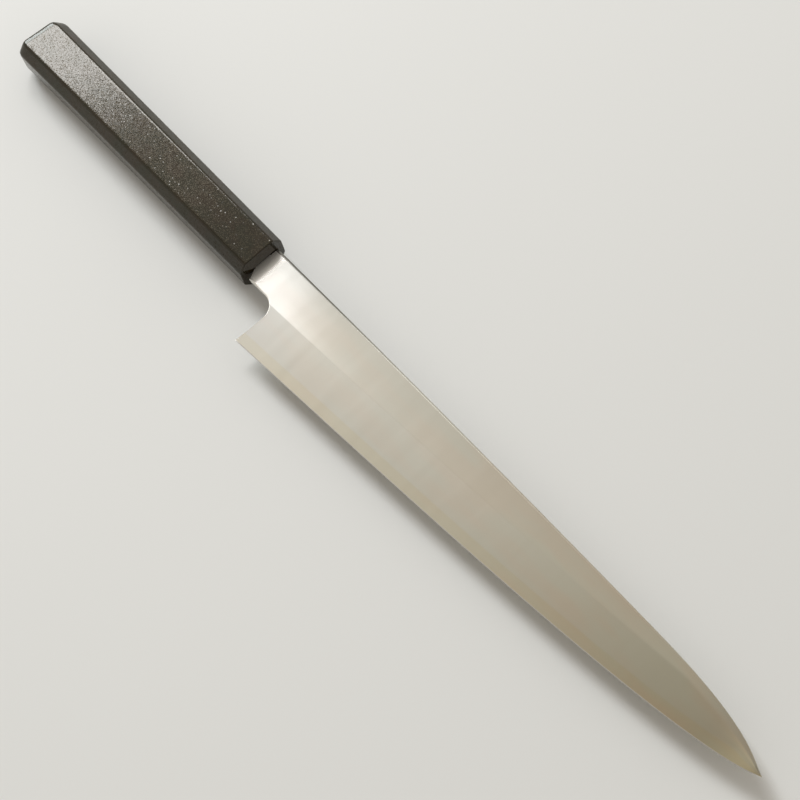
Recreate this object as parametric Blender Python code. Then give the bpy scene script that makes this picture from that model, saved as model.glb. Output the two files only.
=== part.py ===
"""Sujihiki, a long double-bevel slicing knife, lying on its left side.

Units are metres. X runs along the knife to the tip, +Y points to the spine and +Z out of the
right side of the blade. The shapes are drawn with X = 0 at the front face of the handle and
Y = Z = 0 on the handle's axis. The empty that carries them then sets the knife down, with the
origin at the middle of its footprint.
"""

import math

import bmesh
import bpy
import numpy as np
from mathutils import Vector
from mathutils.geometry import interpolate_bezier

# Blade outline, seen square to its side
NECK_LENGTH = 0.0181          # front of the handle to the heel
EDGE_RUN = 0.2690             # heel to tip, along X
SPINE_ABOVE_AXIS = 0.0083     # spine over the handle's axis, at the neck
BLADE_HEIGHT = 0.0384         # spine to heel
NECK_HEIGHT = 0.0172          # spine to the underside of the neck
TIP_BELOW_SPINE = 0.0119      # how far the point lies below the line of the spine
TIP_BLUNT = 0.0003            # the point is rounded off by this much
CHOIL_RADIUS = 0.0070         # the round between neck and heel
HEEL_LEAN = 0.0009            # how far the heel reaches back behind the choil
NECK_CUT_LENGTH = 0.0019      # corner cut where the neck's underside meets the handle
NECK_CUT_HEIGHT = 0.0036

# Spine: nearly straight to the break, then down to the point
SPINE_BREAK_TO_TIP = 0.0596
SPINE_FALL_AT_BREAK = 0.0014
SPINE_SLOPE_AT_BREAK = 0.025
SPINE_CROWN = 0.0006          # lift of the spine's first control point
SPINE_START_PULL = 0.084      # length of the curve's control arms
SPINE_BREAK_PULL = 0.023
POINT_SHOULDER_PULL = 0.0462
POINT_STEEP_RUN = 0.0072      # last control point, back from the tip and above it
POINT_STEEP_RISE = 0.0021

# Edge: nearly straight from the heel, with its belly towards the tip
EDGE_SLOPE_AT_HEEL = 0.0577
EDGE_START_PULL = 0.072
BELLY_RUN = 0.0273            # last control point, back from the tip and below it
BELLY_DROP = 0.0153

# Ridge line between the flat and the ground bevel
RIDGE_BELOW_SPINE = 0.0184    # at the heel
RIDGE_RISE_EARLY = 0.0033     # rise of the two control points and of the end over the start
RIDGE_RISE_LATE = 0.0075
RIDGE_RISE_END = 0.0155
RIDGE_END_TO_TIP = 0.0248
RIDGE_LEAST_FALL = 0.12       # least share of the side's height between the spine's rounding and the ridge

# Blade thickness, both sides together
SPINE_THICKNESS_NECK = 0.0032
SPINE_THICKNESS_TIP = 0.0010
DISTAL_TAPER_POWER = 1.15     # above 1, the blade thins faster near the handle
HOLLOW_TO_RIDGE = 0.0003      # how much thinner the blade is at the ridge than at the spine
BAND_WIDTH = 0.0053           # the finer bevel along the edge
BAND_MOST_RISE = 0.6          # most share of the height under the ridge that it takes
BAND_THICKNESS_HEEL = 0.00095
BAND_THICKNESS_TIP = 0.00060
BAND_MOST_THICKNESS = 0.8     # as a share of the thickness at the ridge
BEVEL_CROWN = 0.00004         # the ground bevel swells by this much on each side
EDGE_THICKNESS = 0.00020
POINT_WEDGE = 0.11            # half thickness over height, at most, so that the point is thin
SPINE_EASE = 0.0009           # rounding of the spine's two corners
SPINE_EASE_NECK = 0.0013      # and at the neck, where a finger rests
SPINE_EASE_FADE = 0.0600      # where the larger rounding has run out
SPINE_EASE_MOST = 0.8         # as a share of half the thickness
CHOIL_EASE = 0.00025          # rounding of the choil's two rims
EDGE_EASE = 0.00004
RIM_STRIP = 0.00008           # the band's limit stays this far inside a rim that it doesn't cross
RIDGE_STRIP = 0.00016         # the same for the ridge
HEEL_HOLLOW = 0.6             # how much of the heel's lean its curve takes up above the corner

# Tang, set in from the neck by its shoulders
TANG_LENGTH = 0.1000
SHOULDER_AT_SPINE = 0.0038
SHOULDER_AT_EDGE = 0.0008
SHOULDER_AT_SIDE = 0.00005
TANG_HEIGHT_END = 0.0050
TANG_THICKNESS_END = 0.0020
TANG_ROWS = (0.6, 0.8)        # places of the two rows of points on the tang's side, from its top

# Handle blank: an octagon that widens from the front to the butt
HANDLE_LENGTH = 0.1500
FRONT_HEIGHT = 0.0218         # along Y
BUTT_HEIGHT = 0.0235
FRONT_THICKNESS = 0.0185      # along Z
BUTT_THICKNESS = 0.0194
FRONT_FACET_WIDTH = 0.0148    # the upper and lower facets
BUTT_FACET_WIDTH = 0.0162
FRONT_SIDE_WIDTH = 0.0093     # the two facets under the spine and the edge
BUTT_SIDE_WIDTH = 0.0100
BUTT_DOME_RADIUS = 0.0380     # the butt is crowned
BUTT_CROWN_Y = -0.0029        # its highest place, on the side of the edge
ARRIS_EASE = 0.0012           # rounding of the eight long corners
BUTT_RIM_EASE = 0.0005
FRONT_RIM_EASE = 0.0003
ARRIS_TURN = 15.0             # degrees: a long edge that turns by more is one of the eight corners
END_RIM_TURN = 45.0           # an edge across the handle that turns by more is on the rim of an end
FERRULE_LENGTH = 0.0280

# Dowel that grips the tang inside the handle
TANG_COVER = 0.0015           # wood outside the tang's corners
DOWEL_END_CHAMFER = 0.0006
FERRULE_FRONT_WALL = 0.0040   # the wall with the tang's slot, in front of the dowel
DOWEL_PAST_TANG = 0.0060      # solid wood behind the tang's end

# Fits
FIT_GAP = 0.0003              # between neighbouring pieces

# Smoothness
CURVE_SAMPLES = 240
BLADE_STATIONS = 36
CHOIL_STATIONS = (4, 6)       # above the end of the ridge and below it
CHOIL_SPLIT = (0.1, 0.9)      # limits to that place, as shares of the choil's depth
HEEL_STATIONS = 6
TANG_STATIONS = 4
FAN_REACH = 6.0               # choil radii from the heel over which the sections turn upright
EASE_STEPS = 3
FACET_STEPS = 4
DOME_RINGS = 4
ROUND_SIDES = 40
CUT_OVERSHOOT = 0.002         # how far a cutter runs past the face that it opens
SEARCH_STEPS = 30             # halvings in the search for where two lines cross
LEAST_HEIGHT = 1e-6           # keeps a division safe where two lines meet
CUT_TOLERANCE = 1e-7

# Places that follow from the sizes
TIP_X = NECK_LENGTH + EDGE_RUN
TIP_Y = SPINE_ABOVE_AXIS - TIP_BELOW_SPINE
HEEL_Y = SPINE_ABOVE_AXIS - BLADE_HEIGHT
NECK_UNDER_Y = SPINE_ABOVE_AXIS - NECK_HEIGHT
NECK_START_X = FIT_GAP
TANG_TOP_Y = SPINE_ABOVE_AXIS - SHOULDER_AT_SPINE
TANG_UNDER_Y = NECK_UNDER_Y + NECK_CUT_HEIGHT + SHOULDER_AT_EDGE
TANG_THICKNESS_FRONT = SPINE_THICKNESS_NECK - HOLLOW_TO_RIDGE - 2 * SHOULDER_AT_SIDE
CHOIL_X = NECK_LENGTH + HEEL_LEAN
DOWEL_RADIUS = math.hypot(max(TANG_TOP_Y, -TANG_UNDER_Y), TANG_THICKNESS_FRONT / 2) + TANG_COVER
DOWEL_FRONT_X = -FERRULE_FRONT_WALL - FIT_GAP
DOWEL_END_X = -TANG_LENGTH - FIT_GAP - DOWEL_PAST_TANG


def clear_scene():
    """Remove every object, so that the file holds only the knife."""
    for obj in list(bpy.data.objects):
        bpy.data.objects.remove(obj, do_unlink=True)


def material(name, colour, roughness, metallic, coat=0.0):
    """A Principled material with one colour."""
    made = bpy.data.materials.new(name)
    made.use_nodes = True
    shader = made.node_tree.nodes["Principled BSDF"]
    shader.inputs["Base Color"].default_value = (*colour, 1.0)
    shader.inputs["Roughness"].default_value = roughness
    shader.inputs["Metallic"].default_value = metallic
    shader.inputs["Coat Weight"].default_value = coat
    made.diffuse_color = (*colour, 1.0)
    return made


def add_object(name, bm, finish, smooth_angle=20.0):
    """Turn a bmesh into a named object with one material."""
    mesh = bpy.data.meshes.new(name)
    bm.to_mesh(mesh)
    bm.free()
    if finish is not None:
        mesh.materials.append(finish)
    mesh.shade_smooth()
    mesh.set_sharp_from_angle(angle=math.radians(smooth_angle))
    obj = bpy.data.objects.new(name, mesh)
    bpy.context.scene.collection.objects.link(obj)
    return obj


def lerp(a, b, share):
    return a + (b - a) * share


def curve_xy(points, samples=CURVE_SAMPLES):
    """Points along one cubic curve through (x, y) pairs: start, two control points, end."""
    start, arm_a, arm_b, end = (Vector((x, y, 0.0)) for x, y in points)
    return np.array([(p.x, p.y) for p in interpolate_bezier(start, arm_a, arm_b, end, samples)])


def spine_curve():
    """The spine, from the handle to the point."""
    break_x = TIP_X - SPINE_BREAK_TO_TIP
    break_y = SPINE_ABOVE_AXIS - SPINE_FALL_AT_BREAK
    back = (break_x - SPINE_BREAK_PULL, break_y + SPINE_SLOPE_AT_BREAK * SPINE_BREAK_PULL)
    ahead = (break_x + POINT_SHOULDER_PULL, break_y - SPINE_SLOPE_AT_BREAK * POINT_SHOULDER_PULL)
    steep = (TIP_X - POINT_STEEP_RUN, TIP_Y + POINT_STEEP_RISE)
    crown = (SPINE_START_PULL, SPINE_ABOVE_AXIS + SPINE_CROWN)
    run = curve_xy([(0.0, SPINE_ABOVE_AXIS), crown, back, (break_x, break_y)])
    point = curve_xy([(break_x, break_y), ahead, steep, (TIP_X, TIP_Y)])
    return np.concatenate([run, point[1:]])


def edge_curve():
    """The cutting edge, with a straight stretch behind the heel for what is measured from it."""
    start = (NECK_LENGTH, HEEL_Y)
    arm = (NECK_LENGTH + EDGE_START_PULL, HEEL_Y + EDGE_SLOPE_AT_HEEL * EDGE_START_PULL)
    belly = (TIP_X - BELLY_RUN, TIP_Y - BELLY_DROP)
    behind = np.array([(0.0, HEEL_Y - EDGE_SLOPE_AT_HEEL * NECK_LENGTH)])
    return np.concatenate([behind, curve_xy([start, arm, belly, (TIP_X, TIP_Y)])])


def ridge_curve():
    """The ridge line, from behind the choil to where it runs out into the spine."""
    start_y = SPINE_ABOVE_AXIS - RIDGE_BELOW_SPINE
    end_x = TIP_X - RIDGE_END_TO_TIP
    third = (end_x - NECK_LENGTH) / 3
    return curve_xy([
        (NECK_LENGTH, start_y),
        (NECK_LENGTH + third, start_y + RIDGE_RISE_EARLY),
        (end_x - third, start_y + RIDGE_RISE_LATE),
        (end_x, start_y + RIDGE_RISE_END),
    ])


SPINE = spine_curve()
EDGE = edge_curve()
RIDGE = ridge_curve()


def height_on(curve, x):
    return float(np.interp(x, curve[:, 0], curve[:, 1]))


def spine_half(x):
    """Half the thickness at the spine, which falls towards the tip and is thinned at the point."""
    share = min(max(x / TIP_X, 0.0), 1.0)
    taper = (1.0 - share) ** DISTAL_TAPER_POWER
    forged = 0.5 * lerp(SPINE_THICKNESS_TIP, SPINE_THICKNESS_NECK, taper)
    wedge = 0.5 * EDGE_THICKNESS + POINT_WEDGE * (height_on(SPINE, x) - height_on(EDGE, x))
    return min(forged, wedge)


def ease_at(x):
    """Rounding of the spine's corners, largest at the neck and limited by the thickness there."""
    near_neck = 1.0 - min(max(x / SPINE_EASE_FADE, 0.0), 1.0)
    return min(lerp(SPINE_EASE, SPINE_EASE_NECK, near_neck), SPINE_EASE_MOST * spine_half(x))


def ridge_y(x):
    """Height of the ridge line, kept just under the spine's rounding near the tip."""
    top, low = height_on(SPINE, x), height_on(EDGE, x)
    return min(height_on(RIDGE, x), lerp(top - ease_at(x), low, RIDGE_LEAST_FALL))


def band_y(x):
    """Upper limit of the finer bevel along the edge."""
    low = height_on(EDGE, x)
    return min(low + BAND_WIDTH, lerp(low, ridge_y(x), BAND_MOST_RISE))


def half_thickness(x, y):
    """Half the blade's thickness at a place on its side."""
    top, ridge, band, low = height_on(SPINE, x), ridge_y(x), band_y(x), height_on(EDGE, x)
    along = min(max((x - NECK_LENGTH) / EDGE_RUN, 0.0), 1.0)
    at_spine = spine_half(x)
    at_ridge = at_spine - 0.5 * HOLLOW_TO_RIDGE * (1.0 - along)
    band_half = 0.5 * lerp(BAND_THICKNESS_HEEL, BAND_THICKNESS_TIP, along)
    at_band = min(band_half, BAND_MOST_THICKNESS * at_ridge)
    at_edge = 0.5 * EDGE_THICKNESS
    if y >= ridge:
        return lerp(at_ridge, at_spine, (y - ridge) / max(top - ridge, LEAST_HEIGHT))
    if y >= band:
        share = (ridge - y) / max(ridge - band, LEAST_HEIGHT)
        return lerp(at_ridge, at_band, share) + 4 * BEVEL_CROWN * share * (1 - share)
    share = (band - y) / max(band - low, LEAST_HEIGHT)
    return lerp(at_band, at_edge, min(share, 1.0))


def share_where(line, top, foot, limit):
    """How far down the line from top to foot a height curve is met, at most limit."""
    low, high = 0.0, 1.0
    for _ in range(SEARCH_STEPS):
        middle = 0.5 * (low + high)
        x, y = lerp(top[0], foot[0], middle), lerp(top[1], foot[1], middle)
        if y > line(x):
            low = middle
        else:
            high = middle
    return min(low, limit)


def section(top, foot, half_at, spine_ease, foot_ease, ridge_share, band_share):
    """One closed ring of points round the blade, on the line from its spine to its foot.

    It runs down the right side (+Z) and back up the left one.
    """
    length = math.dist(top, foot)
    foot_ease = min(foot_ease, 0.5 * half_at(*foot))
    ease_top, ease_foot = spine_ease / length, foot_ease / length
    corner = 1.0 - math.sqrt(0.5)
    shares = [
        (0.0, spine_ease),
        (ease_top * corner, spine_ease * corner),
        (ease_top, 0.0),
        (ridge_share, 0.0),
        (0.5 * (ridge_share + band_share), 0.0),
        (band_share, 0.0),
        (1.0 - ease_foot, 0.0),
        (1.0, foot_ease),
    ]
    right = []
    for share, sunk in shares:
        x, y = lerp(top[0], foot[0], share), lerp(top[1], foot[1], share)
        right.append(Vector((x, y, half_at(x, y) - sunk)))
    left = [Vector((p.x, p.y, -p.z)) for p in reversed(right)]
    return right + left


def tang_rings():
    """Sections of the tang, from its end to the neck's shoulder."""
    rings = []
    centre_y = 0.5 * (TANG_TOP_Y + TANG_UNDER_Y)
    for step in range(TANG_STATIONS):
        share = step / (TANG_STATIONS - 1)
        x = lerp(-TANG_LENGTH, NECK_START_X, share)
        half_height = 0.5 * lerp(TANG_HEIGHT_END, TANG_TOP_Y - TANG_UNDER_Y, share)
        half_thick = 0.5 * lerp(TANG_THICKNESS_END, TANG_THICKNESS_FRONT, share)
        rings.append(section(
            (x, centre_y + half_height), (x, centre_y - half_height),
            lambda px, py, half=half_thick: half, CHOIL_EASE, CHOIL_EASE, *TANG_ROWS,
        ))
    return rings


def choil_turns():
    """Angles of the sections' feet round the choil, with one of them where the ridge meets its rim."""
    drop = NECK_UNDER_Y - height_on(RIDGE, CHOIL_X - CHOIL_RADIUS) + CHOIL_EASE + RIDGE_STRIP
    least, most = CHOIL_SPLIT
    split = math.acos(1.0 - min(max(drop / CHOIL_RADIUS, least), most))
    above, below = CHOIL_STATIONS
    turns = [split * step / above for step in range(above)]
    return turns + [lerp(split, 0.5 * math.pi, step / (below - 1)) for step in range(below)]


def foot_line():
    """The lower end of each section from the neck's shoulder to the heel, with its spine end's X.

    The sections fan out round the choil, so that their feet follow it.
    """
    feet = [
        (NECK_START_X, NECK_UNDER_Y + NECK_CUT_HEIGHT),
        (NECK_START_X + NECK_CUT_LENGTH, NECK_UNDER_Y),
        (0.5 * (CHOIL_X - CHOIL_RADIUS + NECK_CUT_LENGTH), NECK_UNDER_Y),
    ]
    for turn in choil_turns():
        x = CHOIL_X - CHOIL_RADIUS + CHOIL_RADIUS * math.sin(turn)
        feet.append((x, NECK_UNDER_Y - CHOIL_RADIUS + CHOIL_RADIUS * math.cos(turn)))
    choil_end = feet[-1]
    depth = choil_end[1] - HEEL_Y
    heel = curve_xy([
        choil_end,
        (CHOIL_X, choil_end[1] - depth / 3),
        (lerp(CHOIL_X, NECK_LENGTH, HEEL_HOLLOW), HEEL_Y + depth / 3),
        (NECK_LENGTH, HEEL_Y),
    ], HEEL_STATIONS + 1)
    feet += [(float(x), float(y)) for x, y in heel[1:]]
    return feet


def blade_rings():
    """Sections of the blade, from the neck's shoulder to the point."""
    rings = []
    feet = foot_line()
    spread = CHOIL_RADIUS
    fan_from = CHOIL_X - CHOIL_RADIUS
    fanned = [foot for foot in feet if foot[0] > fan_from or foot[1] < NECK_UNDER_Y]
    for foot in feet:
        if foot in fanned:
            share = (fanned.index(foot) + 1) / len(fanned)
            top_x = lerp(fan_from, NECK_LENGTH + spread, share)
        else:
            top_x = foot[0]
        rings.append(blade_section(top_x, foot, CHOIL_EASE))
    last_x = TIP_X - TIP_BLUNT
    for step in range(1, BLADE_STATIONS + 1):
        share = math.sin(0.5 * math.pi * step / BLADE_STATIONS)
        x = lerp(NECK_LENGTH, last_x, share)
        lead = spread * max(0.0, 1.0 - (x - NECK_LENGTH) / (FAN_REACH * spread)) ** 2
        rings.append(blade_section(x + lead, (x, height_on(EDGE, x)), EDGE_EASE))
    return rings


def blade_section(top_x, foot, foot_ease):
    """One section of the blade, with its points set on the ridge line and the band's limit."""
    top = (top_x, height_on(SPINE, top_x))
    length = math.dist(top, foot)
    on_edge = foot_ease == EDGE_EASE
    ridge_strip, band_strip = (0.0, 0.0) if on_edge else (RIDGE_STRIP, RIM_STRIP)
    ridge_share = share_where(ridge_y, top, foot, 1.0 - (foot_ease + ridge_strip) / length)
    band_share = share_where(band_y, top, foot, 1.0 - (foot_ease + band_strip) / length)
    return section(top, foot, half_thickness, ease_at(top_x), foot_ease, ridge_share, band_share)


def loft(rings):
    """A closed body through rings of points, drawn out from the first to the last."""
    bm = bmesh.new()
    first = [bm.verts.new(point) for point in rings[0]]
    face = bm.faces.new(first)
    for ring in rings[1:]:
        face = bmesh.ops.extrude_discrete_faces(bm, faces=[face])["faces"][0]
        for vert, point in zip(face.verts, ring):
            vert.co = point
    bm.faces.new(reversed(first))
    bm.normal_update()
    bmesh.ops.recalc_face_normals(bm, faces=bm.faces)
    return bm


def make_blade(finish):
    """Blade and tang, forged in one."""
    return add_object("blade", loft(tang_rings() + blade_rings()), finish, smooth_angle=12.0)


def octagon(x):
    """The outline of the handle's section at x as (y, z) pairs, each facet in a few steps."""
    share = -x / HANDLE_LENGTH
    height = 0.5 * lerp(FRONT_HEIGHT, BUTT_HEIGHT, share)
    thick = 0.5 * lerp(FRONT_THICKNESS, BUTT_THICKNESS, share)
    facet = 0.5 * lerp(FRONT_FACET_WIDTH, BUTT_FACET_WIDTH, share)
    side = 0.5 * lerp(FRONT_SIDE_WIDTH, BUTT_SIDE_WIDTH, share)
    corners = [(height, side), (facet, thick), (-facet, thick), (-height, side)]
    corners += [(-y, -z) for y, z in corners]
    outline = []
    for (y, z), (next_y, next_z) in zip(corners, corners[1:] + corners[:1]):
        for step in range(FACET_STEPS):
            outline.append((lerp(y, next_y, step / FACET_STEPS), lerp(z, next_z, step / FACET_STEPS)))
    return outline


def dome_x(y, z):
    """How far the crowned butt reaches at a place of its face."""
    off_crown = math.hypot(y - BUTT_CROWN_Y, z)
    return -HANDLE_LENGTH + BUTT_DOME_RADIUS - math.sqrt(BUTT_DOME_RADIUS ** 2 - off_crown ** 2)


def butt_rings():
    """Rings over the crowned butt, from a small one near its middle to its rim."""
    rings = []
    for step in range(1, DOME_RINGS):
        scale = step / DOME_RINGS
        rings.append([
            Vector((dome_x(scale * y, scale * z), scale * y, scale * z))
            for y, z in octagon(-HANDLE_LENGTH)
        ])
    rim = []
    for place, (y, z) in enumerate(octagon(-HANDLE_LENGTH)):
        x = dome_x(y, z)
        rim.append(Vector((x, *octagon(x)[place])))
    return rings + [rim]


def handle_blank():
    """The whole handle before it is split: eight facets, a crowned butt and eased corners."""
    rim_limit = -HANDLE_LENGTH + FERRULE_LENGTH
    front = [Vector((0.0, y, z)) for y, z in octagon(0.0)]
    bm = loft(butt_rings() + [front])

    def ease(edges, width, steps):
        bmesh.ops.bevel(bm, geom=edges, offset=width, offset_type="OFFSET", segments=steps,
                        profile=0.5, affect="EDGES", material=-1)

    def lengthwise(edge):
        return abs(edge.verts[0].co.x - edge.verts[1].co.x) > 0.5 * HANDLE_LENGTH

    arrises = [e for e in bm.edges if lengthwise(e) and e.calc_face_angle() > math.radians(ARRIS_TURN)]
    ease(arrises, ARRIS_EASE, EASE_STEPS)
    ends = [e for e in bm.edges
            if not lengthwise(e) and e.calc_face_angle() > math.radians(END_RIM_TURN)]
    ease([e for e in ends if e.verts[0].co.x < rim_limit], BUTT_RIM_EASE, EASE_STEPS)
    ease([e for e in ends if e.is_valid and e.verts[0].co.x > rim_limit], FRONT_RIM_EASE, 1)
    bm.normal_update()
    return bm


def keep_side(bm, x, keep_front):
    """Saw the blank at x and close the cut, keeping the part in front of it or behind it."""
    geometry = bm.verts[:] + bm.edges[:] + bm.faces[:]
    cut = bmesh.ops.bisect_plane(
        bm, geom=geometry, dist=CUT_TOLERANCE, plane_co=(x, 0, 0), plane_no=(1, 0, 0),
        clear_inner=keep_front, clear_outer=not keep_front,
    )
    rim = [item for item in cut["geom_cut"] if isinstance(item, bmesh.types.BMEdge)]
    bmesh.ops.contextual_create(bm, geom=rim)
    bmesh.ops.recalc_face_normals(bm, faces=bm.faces)
    return bm


def round_bar(start_x, end_x, radius, chamfer=0.0):
    """A round bar along X, with chamfered ends."""
    bm = bmesh.new()
    bmesh.ops.create_cone(bm, cap_ends=True, segments=ROUND_SIDES, radius1=radius, radius2=radius,
                          depth=end_x - start_x)
    if chamfer:
        caps = [f for f in bm.faces if len(f.verts) > 4]
        rims = list({edge for face in caps for edge in face.edges})
        bmesh.ops.bevel(bm, geom=rims, offset=chamfer, offset_type="OFFSET", segments=1, profile=0.5,
                        affect="EDGES", material=-1)
    for vert in bm.verts:
        x, y, z = vert.co
        vert.co = (0.5 * (start_x + end_x) + z, x, y)
    bm.normal_update()
    return bm


def block(low, high):
    """A box between two corners."""
    bm = bmesh.new()
    bmesh.ops.create_cube(bm, size=1.0)
    for vert in bm.verts:
        vert.co = [lerp(a, b, 0.5 + c) for a, b, c in zip(low, high, vert.co)]
    return bm


def add_cutter(name, bm):
    """A helper that cuts and isn't part of the knife."""
    cutter = add_object(name, bm, None)
    cutter.hide_render = True
    cutter.display_type = "WIRE"
    return cutter


def cut(obj, cutter):
    """Take the cutter's shape out of an object."""
    modifier = obj.modifiers.new("cut by " + cutter.name, "BOOLEAN")
    modifier.operation = "DIFFERENCE"
    modifier.solver = "EXACT"
    modifier.object = cutter


def make_handle(finish_body, finish_ferrule, finish_dowel):
    """Body and ferrule sawn from one blank, and the slotted dowel inside them."""
    joint_x = -FERRULE_LENGTH
    body = add_object("handle_body", keep_side(handle_blank(), joint_x - FIT_GAP, False), finish_body)
    ferrule = add_object("ferrule", keep_side(handle_blank(), joint_x, True), finish_ferrule)
    dowel = add_object(
        "tang_dowel", round_bar(DOWEL_END_X, DOWEL_FRONT_X, DOWEL_RADIUS, DOWEL_END_CHAMFER), finish_dowel)

    bore = add_cutter(
        "dowel_bore", round_bar(DOWEL_END_X - FIT_GAP, -FERRULE_FRONT_WALL, DOWEL_RADIUS + FIT_GAP))
    cut(body, bore)
    cut(ferrule, bore)

    slot_half_thick = 0.5 * TANG_THICKNESS_FRONT + FIT_GAP
    slot = add_cutter("tang_slot", block(
        (-FERRULE_FRONT_WALL - CUT_OVERSHOOT, TANG_UNDER_Y - FIT_GAP, -slot_half_thick),
        (CUT_OVERSHOOT, TANG_TOP_Y + FIT_GAP, slot_half_thick),
    ))
    cut(ferrule, slot)

    reach = DOWEL_RADIUS + CUT_OVERSHOOT
    kerf = add_cutter("dowel_kerf", block(
        (-TANG_LENGTH - FIT_GAP, -reach, -slot_half_thick),
        (DOWEL_FRONT_X + CUT_OVERSHOOT, reach, slot_half_thick),
    ))
    cut(dowel, kerf)
    return [body, ferrule, dowel, bore, slot, kerf]


def set_down(objects):
    """Carry everything on one empty, placed so that the knife rests on Z = 0 about the origin."""
    corners = np.array([vert.co for obj in objects if not obj.hide_render for vert in obj.data.vertices])
    low, high = corners.min(axis=0), corners.max(axis=0)
    carrier = bpy.data.objects.new("knife", None)
    bpy.context.scene.collection.objects.link(carrier)
    carrier.location = (-0.5 * (low[0] + high[0]), -0.5 * (low[1] + high[1]), -low[2])
    for obj in objects:
        obj.parent = carrier
    return carrier


def main():
    clear_scene()
    steel = material("satin_steel", (0.62, 0.60, 0.55), 0.28, 1.0)
    lacquer = material("silver_lacquer", (0.24, 0.23, 0.20), 0.35, 0.7, coat=0.5)
    ferrule_lacquer = material("ferrule_lacquer", (0.21, 0.20, 0.175), 0.35, 0.7, coat=0.5)
    hardwood = material("dowel_wood", (0.50, 0.36, 0.22), 0.6, 0.0)
    pieces = [make_blade(steel)] + make_handle(lacquer, ferrule_lacquer, hardwood)
    carrier = set_down(pieces)
    print("set down at", [round(value, 6) for value in carrier.location])


main()
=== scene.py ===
"""Sujihiki, a long double-bevel slicing knife: its fine surfaces and finishes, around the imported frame.

Units are metres. The shapes are drawn with X = 0 at the front face of the handle and Y = Z = 0 on the
handle's axis, +X to the tip, +Y to the spine and +Z out of the right side of the blade, and are then
moved to where the frame has the middle of that face.
"""

import logging
import math
from collections.abc import Callable, Sequence
from dataclasses import astuple, dataclass
from enum import Enum
from functools import cached_property, partial, reduce

import bmesh
import bpy
import numpy as np
from mathutils import Matrix, Vector
from mathutils.geometry import interpolate_bezier


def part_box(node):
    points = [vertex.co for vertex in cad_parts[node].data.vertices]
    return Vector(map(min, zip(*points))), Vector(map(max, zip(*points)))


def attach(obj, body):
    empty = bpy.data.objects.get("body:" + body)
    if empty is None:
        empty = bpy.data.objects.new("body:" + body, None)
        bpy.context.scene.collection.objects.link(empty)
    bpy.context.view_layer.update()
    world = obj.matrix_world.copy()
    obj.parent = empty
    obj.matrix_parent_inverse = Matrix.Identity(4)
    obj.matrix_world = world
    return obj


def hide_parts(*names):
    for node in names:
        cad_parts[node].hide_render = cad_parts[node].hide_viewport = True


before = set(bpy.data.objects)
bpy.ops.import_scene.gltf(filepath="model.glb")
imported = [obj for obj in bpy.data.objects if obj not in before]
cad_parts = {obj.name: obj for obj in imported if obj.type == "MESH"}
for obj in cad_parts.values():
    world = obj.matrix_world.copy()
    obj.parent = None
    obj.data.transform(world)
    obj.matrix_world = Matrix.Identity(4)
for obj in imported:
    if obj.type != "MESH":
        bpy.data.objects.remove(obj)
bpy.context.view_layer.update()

log = logging.getLogger("sujihiki")

Colour = tuple[float, float, float]
Place = tuple[float, float, float]
Pair = tuple[float, float]
Ring = list[Vector]
Section = list[tuple[Vector, float]]
Shape = bmesh.types.BMesh
Piece = bpy.types.Object
Surface = bpy.types.Material
Node = bpy.types.Node
Socket = bpy.types.NodeSocket

WELD = 1e-7
LEAST_FACE = 1e-6             # stands for the height of a ground face that has run out at the point
QUARTER_TURN = 0.5 * math.pi
ROUND_PULL = 0.55             # control arm of a quarter round, as a share of the way to its corner
ARRIS_PULL = 0.88             # the same for the long corners, which roll over slowly beside the facets


class Finish(Enum):
    """The material slots."""

    STEEL = "blade_steel"
    HANDLE = "handle_lacquer"
    FERRULE = "ferrule_lacquer"
    DOWEL = "dowel_wood"


class Zone(Enum):
    """The ground faces of the blade, as written into the mesh for its finish to read."""

    SPINE = 0.0
    FLAT = 1.0
    BEVEL = 2.0
    BAND = 3.0
    RIM = 4.0


def lerp(a: float, b: float, share: float) -> float:
    """The value a share of the way from a to b."""
    return a + (b - a) * share


def held(value: float) -> float:
    """A value held between 0 and 1."""
    return min(max(value, 0.0), 1.0)


def smooth_corner(before: Vector, corner: Vector, after: Vector, pull: float, steps: int) -> Ring:
    """Round a corner off between two points beside it.

    Args:
        before: where the rounding starts.
        corner: the sharp corner.
        after: where the rounding ends.
        pull: how far each control arm reaches towards the corner, as a share.
        steps: spans along the rounding.

    Returns:
        The points of the rounding, with both ends.
    """
    return interpolate_bezier(before, before.lerp(corner, pull), after.lerp(corner, pull), after, steps + 1)


def on_grid(bm: Shape, rows: Sequence[Sequence[object]]) -> list[tuple[bmesh.types.BMVert, object]]:
    """Make a sheet with a point for each item of some rows.

    Args:
        bm: where the sheet goes.
        rows: the items, in rows of one length.

    Returns:
        Each point with its item, by which the caller moves it into place.
    """
    last_row, last_column = len(rows) - 1, len(rows[0]) - 1
    made = bmesh.ops.create_grid(bm, x_segments=last_row, y_segments=last_column, size=1.0)["verts"]
    places = [(round(0.5 * (vert.co.x + 1.0) * last_row), round(0.5 * (vert.co.y + 1.0) * last_column))
              for vert in made]
    return [(vert, rows[row][column]) for vert, (row, column) in zip(made, places)]


def lofted(rings: Sequence[Ring], endless: bool = False) -> Shape:
    """A sheet through closed rings of points.

    Args:
        rings: the rings, all with the same number of points.
        endless: join the last ring to the first.

    Returns:
        The sheet, with its seam and poles closed.
    """
    rings = [ring + ring[:1] for ring in rings]
    bm = bmesh.new()
    for vert, point in on_grid(bm, [*rings, rings[0]] if endless else rings):
        vert.co = point
    bmesh.ops.remove_doubles(bm, verts=bm.verts, dist=WELD)
    bmesh.ops.dissolve_degenerate(bm, edges=bm.edges, dist=WELD)
    return bm


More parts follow.
